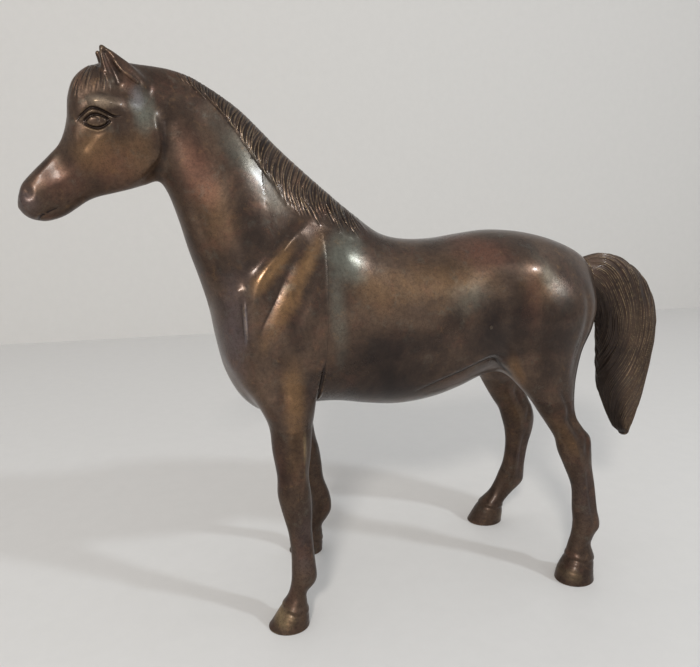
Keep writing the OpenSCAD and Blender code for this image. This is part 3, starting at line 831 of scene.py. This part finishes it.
# ---- tail
def tail_hair(fan, t, tall, clumps):
    """Height of the hair round one ring, t of the way down: locks in clumps that turn as they fall"""
    phi = fan - 3.3 * t ** 1.25 + 3.5 + .12 * np.sin(8 * t + 2 * fan) + .045 * np.sin(21 * t - 3 * fan)
    j, g = int(t * STRETCHES), t * STRETCHES - int(t * STRETCHES)
    i = np.floor(phi * LOCKS).astype(int)
    fine = np.sin(np.pi * (phi * LOCKS - i)) ** .7 * (tall[i, j] * (1 - g) + tall[i, j + 1] * g)
    m = np.floor(phi * CLUMPS).astype(int)
    q = phi * CLUMPS - m
    q = q * q * (3 - 2 * q)
    mass = ((clumps[m, j] * (1 - q) + clumps[m + 1, j] * q) * (1 - g)
            + (clumps[m, j + 1] * (1 - q) + clumps[m + 1, j + 1] * q) * g)
    return 1.15 * fine - .7 + .6 * mass


def tail_ring(s, a, t, hair):
    """One ring at station s; the hair is shallow at the root and the tip"""
    lift = min(1, .4 + 8 * t) * min(1, (1 - t) * 10 + .35) * hair * min(1, s[4] / 7)
    dx, dz = (s[2] - s[0]) / 2, (s[3] - s[1]) / 2
    full = math.hypot(dx, dz)
    x = (s[0] + s[2]) / 2 + dx / full * (full + lift) * np.cos(a)
    z = (s[1] + s[3]) / 2 + dz / full * (full + lift) * np.cos(a)
    bow = np.sign(np.sin(a)) * np.abs(np.sin(a)) ** .9
    return np.stack([x, (max(s[4], .5) + lift) * bow, z], 1)


def tail_mesh():
    """Tail casting: fine locks sweep from its back edge towards its front as they fall"""
    rows = spread(TAIL, TAIL_RINGS / (len(TAIL) - 1))
    rng = np.random.default_rng(7)
    tall = rng.uniform(.2, 1.3, (150, STRETCHES + 2))
    clumps = rng.uniform(-1, 1, (40, STRETCHES + 2))
    a = np.linspace(-np.pi, np.pi, TAIL_SIDES, endpoint=False)
    fan = np.sqrt(a * a + .03)
    downs = [k / (len(rows) - 1) for k in range(len(rows))]
    rings = [tail_ring(s, a, t, tail_hair(fan, t, tall, clumps)) for s, t in zip(rows, downs)]
    end = np.array([TAIL_TIP[0], 0, TAIL_TIP[1]])
    last = rings[-1]
    for k in range(1, 6):
        closing = k / 6 * math.pi / 2
        middle = last.mean(0) + (end - last.mean(0)) * math.sin(closing)
        rings.append(middle + (last - last.mean(0)) * math.cos(closing))
    seat = rings[0].mean(0)
    rings.insert(0, seat + (rings[0] - seat) * HEEL_SIZE - np.array(TAIL_WAY) * TAIL_HEEL)
    points, quads, caps = closed_skin(rings, end=end)
    mesh = bpy.data.meshes.new("tail")
    mesh.from_pydata((points * MM).tolist(), [], quads.tolist() + caps.tolist())
    mesh.update()
    mesh.shade_smooth()
    store_raised(mesh, points, quads)
    # Painted shade: marks the strip of the tail that faces the rump, which its material darkens
    facing = np.tile(np.clip((np.abs(a) - 1.75) / .5, 0, 1), len(rings))
    store(mesh, "front", np.append(facing, np.ones(len(points) - len(facing))))
    return mesh


def store_raised(mesh, points, quads):
    """Proud and hollow spots of an even mesh, from each point and its neighbours"""
    edges = np.vstack([quads[:, [0, 1]], quads[:, [1, 2]]])
    n = len(points)
    count = np.bincount(edges.ravel(), minlength=n).clip(1)
    normal = read(mesh.vertices, "normal", 3).reshape(-1, 3)
    outward = normal * np.sign((normal * (points - points.mean(0))).sum())
    for name, rounds, scale in (("proud", 3, .16), ("swell", 40, .7)):
        soft = points
        for _ in range(rounds):
            soft = np.stack([(np.bincount(edges[:, 0], soft[edges[:, 1], k], n)
                              + np.bincount(edges[:, 1], soft[edges[:, 0], k], n)) / count
                             for k in range(3)], 1)
        store(mesh, name, ((points - soft) * outward).sum(1) / scale)


# ---- finishes
class Nodes:
    """Short way to write a material's nodes"""

    def __init__(self, name):
        self.material = bpy.data.materials.new(name)
        self.material.use_nodes = True
        self.tree = self.material.node_tree
        self.shader = self.tree.nodes["Principled BSDF"]
        self.place = self.add("ShaderNodeTexCoord", {}, "Object")

    def put(self, node, inputs):
        """Links sockets to other nodes, or sets them to a number, three numbers or a colour"""
        for key, value in inputs.items():
            socket = node.inputs[key]
            if isinstance(value, bpy.types.NodeSocket):
                self.tree.links.new(value, socket)
            else:
                socket.default_value = (*value, 1) if socket.type == "RGBA" else value

    def add(self, kind, inputs, output=0, **settings):
        """Adds a node and gives one of its outputs"""
        node = self.tree.nodes.new(kind)
        for key, value in settings.items():
            setattr(node, key, value)
        self.put(node, inputs)
        return node.outputs[output]

    def noise(self, scale, detail, rough, shift, distort=0.0):
        return self.add("ShaderNodeTexNoise", {
            "Vector": self.place, "W": shift, "Scale": scale, "Detail": detail, "Roughness": rough,
            "Distortion": distort}, "Fac", noise_dimensions="4D")

    def ramp(self, value, low, high, to_low=0.0, to_high=1.0, kind="SMOOTHSTEP"):
        return self.add("ShaderNodeMapRange", {
            "Value": value, "From Min": low, "From Max": high, "To Min": to_low, "To Max": to_high},
            "Result", interpolation_type=kind)

    def math(self, kind, a, b):
        return self.add("ShaderNodeMath", {0: a, 1: b}, operation=kind)

    def mix(self, factor, a, b):
        """Mixes two colours; the numbers are the colour mode's own sockets"""
        return self.add("ShaderNodeMix", {0: factor, 6: a, 7: b}, 2, data_type="RGBA")

    def value(self, name):
        return self.add("ShaderNodeAttribute", {}, "Fac", attribute_type="GEOMETRY", attribute_name=name)

    def zone(self, centre, radii, tilt):
        """1 inside an egg-shaped area, with a soft ragged edge; centre and radii in millimetres"""
        spot = self.add("ShaderNodeMapping", {
            "Vector": self.place, "Location": [v * MM for v in centre],
            "Rotation": (0, math.radians(-tilt), 0), "Scale": [v * MM for v in radii]},
            vector_type="TEXTURE")
        size = self.add("ShaderNodeVectorMath", {0: spot}, "Value", operation="LENGTH")
        ragged = self.ramp(self.rag, .3, .7, -RAGGED, RAGGED, "LINEAR")
        return self.ramp(self.math("ADD", size, ragged), *ZONE_EDGE)

    def laid(self, colour, areas):
        """Lays areas of other tones over a colour"""
        for tone, strength, x, z, wide, tall, tilt, *depth in areas:
            y, deep = depth or (0, THROUGH)
            zone = self.zone((x, y, z), (wide, deep, tall), tilt)
            colour = self.mix(self.math("MULTIPLY", zone, strength), colour, tone)
        return colour

    def bump(self, layers):
        """Bumps of [height, strength, distance in millimetres], one over the other"""
        below = {}
        for height, strength, distance in layers:
            below = {"Normal": self.add("ShaderNodeBump", {
                "Strength": strength, "Distance": distance * MM, "Height": height, **below}, "Normal")}
        self.put(self.shader, below)


DARK = (.056, .035, .025)
BROWN = (.120, .076, .051)
AMBER = (.29, .158, .068)
RUSSET = (.165, .072, .048)
SAGE = (.165, .166, .135)
UMBER = (.018, .0120, .0105)
PLUM = (.115, .085, .084)
BRASS = (.42, .30, .16)
PEARL = (.34, .31, .33)
SAND = (.40, .30, .215)

# Edge of an area: the distances, in radii, where it ends and where it is full; how ragged it is
ZONE_EDGE, RAGGED = (1.25, .25), .28
# How far an area reaches sideways when it goes right through the figure
THROUGH = 90
# Areas in the side view, of patina tone and, where marked, of painted highlight, reflection and shade:
# colour, strength, x, z, radius along, radius up, tilt; an area that doesn't go right through
# also has its y and its radius sideways
AREAS = [
    (PLUM, .85, -112, 205, 11, 44, 0),
    (PLUM, .60, -226, 281, 8, 10, 0),
    # next two: painted warm reflection of the window lamp on the shoulder bands, over amber patina tone
    (AMBER, .95, -87, 240, 7, 24, -42),
    (AMBER, .85, -76, 224, 7, 42, -31),
    (AMBER, .60, -78, 158, 9, 30, 0),
    # painted warm reflection on the lower neck, over amber patina tone
    (AMBER, .22, -118, 268, 14, 26, 22),
    # next three: painted highlight along the upper barrel and croup, over amber patina tone
    (AMBER, .36, -16, 222, 26, 18, 0),
    (AMBER, .38, 30, 226, 40, 20, 0),
    (AMBER, .30, 98, 222, 20, 18, 0),
    (AMBER, .42, -187, 308, 14, 16, 0),
    (AMBER, .30, -166, 306, 14, 16, 0),
    (RUSSET, .35, -176, 300, 18, 14, 0),
    # painted highlight streak along the stifle ridge, over amber tone
    (AMBER, .45, 87, 160, 5, 18, 24),
    (RUSSET, .55, -130, 300, 12, 28, 12),
    (RUSSET, .65, 60, 246, 26, 12, 0),
    (RUSSET, .50, 92, 214, 9, 26, 0),
    (RUSSET, .35, -205, 292, 16, 14, 0),
    # next seven: painted cool reflection of the far window on the neck, withers, shoulder, cheek, barrel
    # and hip, with a painted highlight behind the cheek
    (SAGE, .50, -99, 303, 11, 36, 38),
    (SAGE, .85, -39, 244, 16, 18, 0),
    (SAGE, .62, -48, 210, 8, 36, 4),
    (SAGE, .85, -160, 333, 8, 13, 0),
    (PEARL, .45, -162, 338, 5, 8, 0),
    (SAGE, .50, 44, 216, 20, 13, 10),
    (SAGE, .45, 108, 226, 9, 26, 24),
    # next two: painted highlights, a light patch on the brow and a bright line down the front of the
    # shoulder
    (SAND, .90, -181.5, 335.4, 10, 5, -8),
    (PEARL, .55, -106, 207, 1.4, 15, 0),
    # next two: painted shade under the barrel, with darker patina
    (UMBER, .95, -12, 162, 62, 34, 8),
    (UMBER, .85, -14, 186, 46, 17, -4),
    # next three: painted shade in the flank hollow in front of the hip
    (UMBER, .92, 64, 190, 27, 27, 0),
    (UMBER, .60, 60, 208, 14, 16, 0),
    (UMBER, .65, 84, 204, 13, 38, 8),
    # painted shade on the neck behind the jaw
    (UMBER, .35, -144, 304, 10, 30, 5),
    # next two: painted shade dimming the lamps' highlights on the neck crest and on the shoulder ledge
    (UMBER, .50, -93, 295, 11, 18, 40),
    (UMBER, .60, -99, 241, 6, 9, -40),
    (UMBER, .85, 110, 184, 23, 42, 0),
    (UMBER, .40, -78, 190, 8, 26, -22),
    # next three: painted shade dimming the lamps' reflections on the lower neck, the nose and the hip
    (UMBER, .60, -106, 252, 13, 28, -40),
    (UMBER, .60, -212, 297, 8, 9, 40),
    (UMBER, .40, 115, 220, 12, 14, 20),
]
LEG_AREAS = [
    (AMBER, .60, -78, 158, 9, 30, 0),
    # painted highlight streak along the stifle ridge, over amber tone
    (AMBER, .45, 87, 160, 5, 18, 24),
    (BRASS, .95, -87, 9, 11, 8, 0),
    # painted highlight along the ridge of the forearm, partly worn metal
    (BRASS, .60, -71.5, 122, 1.8, 12, 0),
    (UMBER, .55, -84, 107, 10, 10, 0),
    # painted shade on the dark side of that ridge
    (UMBER, .50, -77, 124, 3, 16, 0),
    (BRASS, .30, 128, 7, 8, 6, 0),
    (RUSSET, .50, -91, 108, 9, 26, 0),
    (AMBER, .25, -78, 116, 6, 24, 0),
    (PLUM, .50, -74, 60, 12, 34, 0),
    (AMBER, .30, 124, 112, 7, 22, 35),
    (UMBER, .25, 142, 118, 8, 22, 0),
    (UMBER, .40, -92, 112, 5, 20, 0),
    # painted shade on the far legs, on the side away from the lamps
    (UMBER, .75, 0, 80, 260, 100, 0, 86, 54),
    (PLUM, .40, 143, 60, 12, 34, 0),
]


def bronze(name, areas=AREAS, rough=.29, wear=.7, coat=.25, mottle=1.0, hollow_dark=1.0, front=0.0, dark=0.0):
    """Brown patinated bronze under thin lacquer, with metal showing where hands have rubbed it; its areas
    and the tail's front strip also carry painted highlights, reflections and shade
    """
    n = Nodes(name)
    n.rag = n.noise(34, 6, .65, 2.0, distort=.5)
    cloud = n.noise(20, 7, .65, 5.0, distort=.8)
    grain = n.noise(420, 5, .7, 1)
    fleck = n.noise(1300, 3, .65, 8.0)
    colour = n.mix(n.ramp(cloud, .36, .66), DARK, BROWN)
    colour = n.laid(colour, [a for a in areas if a[0] != UMBER])
    for tone, size, shift, low, most in ((RUSSET, 60, 9, .50, .32), (SAGE, 95, 3, .53, .30),
                                         (UMBER, 48, 13, .50, .38), (AMBER, 150, 17, .54, .30)):
        speck = n.ramp(n.noise(size, 6, .7, shift, distort=.5), low, low + .2, 0, most * mottle)
        colour = n.mix(speck, colour, tone)
    colour = n.laid(colour, [a for a in areas if a[0] == UMBER])
    colour = n.mix(n.ramp(grain, .40, .70, 0, .34 * mottle), colour, UMBER)
    colour = n.mix(n.ramp(fleck, .46, .72, 0, .38 * mottle), colour, UMBER)
    # Darker in hollows and creases, by how far each spot is sunk
    hollow = n.math("MAXIMUM", n.ramp(n.value("proud"), -.2, -1, 0, .85 * hollow_dark),
                    n.ramp(n.value("swell"), -.3, -1, 0, .6 * hollow_dark))
    colour = n.mix(hollow, colour, UMBER)
    rubbed = n.math("MULTIPLY", n.ramp(n.value("proud"), .5, 1.2, 0, wear), n.ramp(grain, .62, .36))
    colour = n.mix(rubbed, colour, BRASS)
    if dark:
        colour = n.mix(dark, colour, UMBER)
    # painted shade on the strip of the tail that faces the rump
    if front:
        colour = n.mix(n.math("MULTIPLY", n.value("front"), front), colour, UMBER)
    shine = n.math("ADD", n.ramp(cloud, .3, .7, rough - .05, rough + .08), n.ramp(fleck, .5, .8, 0, .10))
    n.put(n.shader, {"Base Color": colour, "Metallic": .7, "Specular IOR Level": .22, "Roughness": shine,
                     "Coat Weight": coat, "Coat Roughness": .14, "Coat IOR": 1.45})
    n.bump([(n.noise(150, 4, .6, 4.0), .22, .5), (grain, .35, .16), (fleck, .2, .08)])
    return n.material


def plain_metal(name, colour, rough, metallic=1.0):
    n = Nodes(name)
    dull = n.ramp(n.noise(60, 4, .6, 2.0), .35, .7)
    n.put(n.shader, {"Base Color": n.mix(dull, colour, tuple(.6 * c for c in colour)), "Metallic": metallic,
                     "Roughness": n.ramp(n.noise(500, 3, .6, 6.0), .3, .7, rough, rough + .15)})
    n.bump([(n.noise(700, 3, .6, 3.0), .2, .1)])
    return n.material


def pale(name, colour, rough):
    n = Nodes(name)
    speck = n.noise(60, 8, .7, 1)
    shade = n.mix(n.ramp(speck, .3, .7, 0, .35), colour, tuple(.93 * c for c in colour))
    n.put(n.shader, {"Base Color": shade, "Roughness": rough})
    n.bump([(speck, .15, .4)])
    return n.material


# ---- studio
LAMP_AIM = Vector((0, 0, .2))
ROOM_TONE, ROOM_LIGHT = (.90, .91, .92, 1), .68
# Camera: place, degrees below level and turned about Z from +Y, focal length and sensor width
CAMERA_PLACE, CAMERA_DOWN, CAMERA_TURN = (-.1559, -.4353, .2782), 11.183, -16.414
LENS, SENSOR = 33.43, 36


def placed(name, data, place=(0, 0, 0), angles=(0, 0, 0)):
    thing = bpy.data.objects.new(name, data)
    thing.location, thing.rotation_euler = place, angles
    bpy.context.scene.collection.objects.link(thing)
    return thing


def sheet_of(name, corners, material):
    mesh = bpy.data.meshes.new(name)
    mesh.from_pydata(corners, [], [tuple(range(len(corners)))])
    mesh.materials.append(material)
    placed(name, mesh)


def lamp(name, place, size, power, colour):
    data = bpy.data.lights.new(name, "AREA")
    data.shape, data.size, data.energy, data.color = "DISK", size, power, colour
    placed(name, data, place, (LAMP_AIM - Vector(place)).to_track_quat("-Z", "Y").to_euler())


def studio():
    sheet_of("floor", [(-3, -3, 0), (3, -3, 0), (3, 1, 0), (-3, 1, 0)],
             pale("floor_paint", (.70, .685, .67), .55))
    sheet_of("wall", [(-3, 1, 0), (3, 1, 0), (3, 1, 3), (-3, 1, 3)],
             pale("wall_paint", (.67, .65, .625), .8))
    world = bpy.data.worlds.new("room")
    world.use_nodes = True
    background = world.node_tree.nodes["Background"]
    background.inputs["Color"].default_value = ROOM_TONE
    background.inputs["Strength"].default_value = ROOM_LIGHT
    bpy.context.scene.world = world
    lamp("window", (-.8, -1.55, 1.25), .3, 19, (1, .96, .9))
    lamp("far_window", (1.25, -1.05, 1.3), .15, 11, (.86, .94, 1))


def camera():
    data = bpy.data.cameras.new("camera")
    data.sensor_fit = "HORIZONTAL"
    data.sensor_width, data.lens, data.clip_start = SENSOR, LENS, .01
    angles = (math.radians(90 - CAMERA_DOWN), 0, math.radians(CAMERA_TURN))
    bpy.context.scene.camera = placed("camera", data, CAMERA_PLACE, angles)


# ---- build
def build():
    neck, girth = station_plane(TRUNK, NECK_CUT), station_plane(TRUNK, GIRTH_CUT)
    # Bronze finishes: patina with painted highlights, painted reflections and painted shade laid into the
    # colour
    skins = {
        "head": bronze("patina_and_painted_light_head", rough=.36, wear=.2, coat=.12),
        "trunk": bronze("patina_and_painted_light_trunk", wear=.45),
        "leg": bronze("patina_and_painted_light_leg", LEG_AREAS, .40, wear=.2, coat=.08, mottle=1.2, hollow_dark=.45, dark=.12),
        "tail": bronze("patina_and_painted_light_tail", (), .38, wear=1.1, coat=.2, mottle=.6, front=.75, dark=.25),
    }
    clay = head_clay()
    head = part(clay.mesh("head"), *neck)
    finish_piece(head, "sculpted_head_and_neck", "head_and_neck", skins["head"], clay)

    clay = trunk_clay((-136, -56, 126), (-18, 54, 352), FOREHAND_STEP, (9.5, 21),
                      ((NEAR_FORE, NEAR), (FAR_FORE, FAR)), 120)
    forehand = part(clay.mesh("forehand"), *flip(neck))
    forehand = part(forehand, *girth)
    forehand = part(forehand, (0, 0, FORE_CUT), (0, 0, -1))
    finish_piece(forehand, "sculpted_forehand", "forehand", skins["trunk"], clay)

    clay = trunk_clay((-66, -50, 128), (170, 50, 290), BARREL_STEP, (0, 14),
                      ((NEAR_HIND, NEAR), (FAR_HIND, FAR)), 116)
    barrel = part(clay.mesh("barrel"), *flip(girth))
    barrel = part(barrel, (0, 0, HIND_CUT), (0, 0, -1), lambda p: p.x > 60)
    finish_piece(barrel, "sculpted_barrel_and_quarters", "barrel_and_quarters",
                 skins["trunk"], clay)

    for name, rows, side, cut, forms, upper, crown in (
            ("near_fore_leg", NEAR_FORE, NEAR, FORE_CUT, FORE_LEG, shoulder, (17.5, 10)),
            ("far_fore_leg", FAR_FORE, FAR, FORE_CUT, FORE_LEG, shoulder, (17.5, 10)),
            ("near_hind_leg", NEAR_HIND, NEAR, HIND_CUT, HIND_LEG, quarters, (20, 16.5)),
            ("far_hind_leg", FAR_HIND, FAR, HIND_CUT, HIND_LEG, quarters, (19, 15))):
        clay = leg_clay(rows, side, cut, forms, upper, crown)
        leg = part(clay.mesh(name), (0, 0, cut), (0, 0, 1))
        finish_piece(leg, "sculpted_" + name, name, skins["leg"], clay)
    finish_piece(tail_mesh(), "sculpted_tail", "tail", skins["tail"])

    brass = plain_metal("pin_bronze", (.07, .05, .035), .4, .5)
    steel = plain_metal("fixing_steel", (.52, .51, .50), .3)
    replaced = {"head_and_neck", "forehand", "barrel_and_quarters", "tail"}
    for name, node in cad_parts.items():
        if name in replaced or name.endswith("_leg"):
            continue
        node.data.materials.clear()
        node.data.materials.append(steel if name.startswith("tail_") else brass)


bpy.context.scene.view_settings.view_transform = "Standard"
studio()
camera()
build()
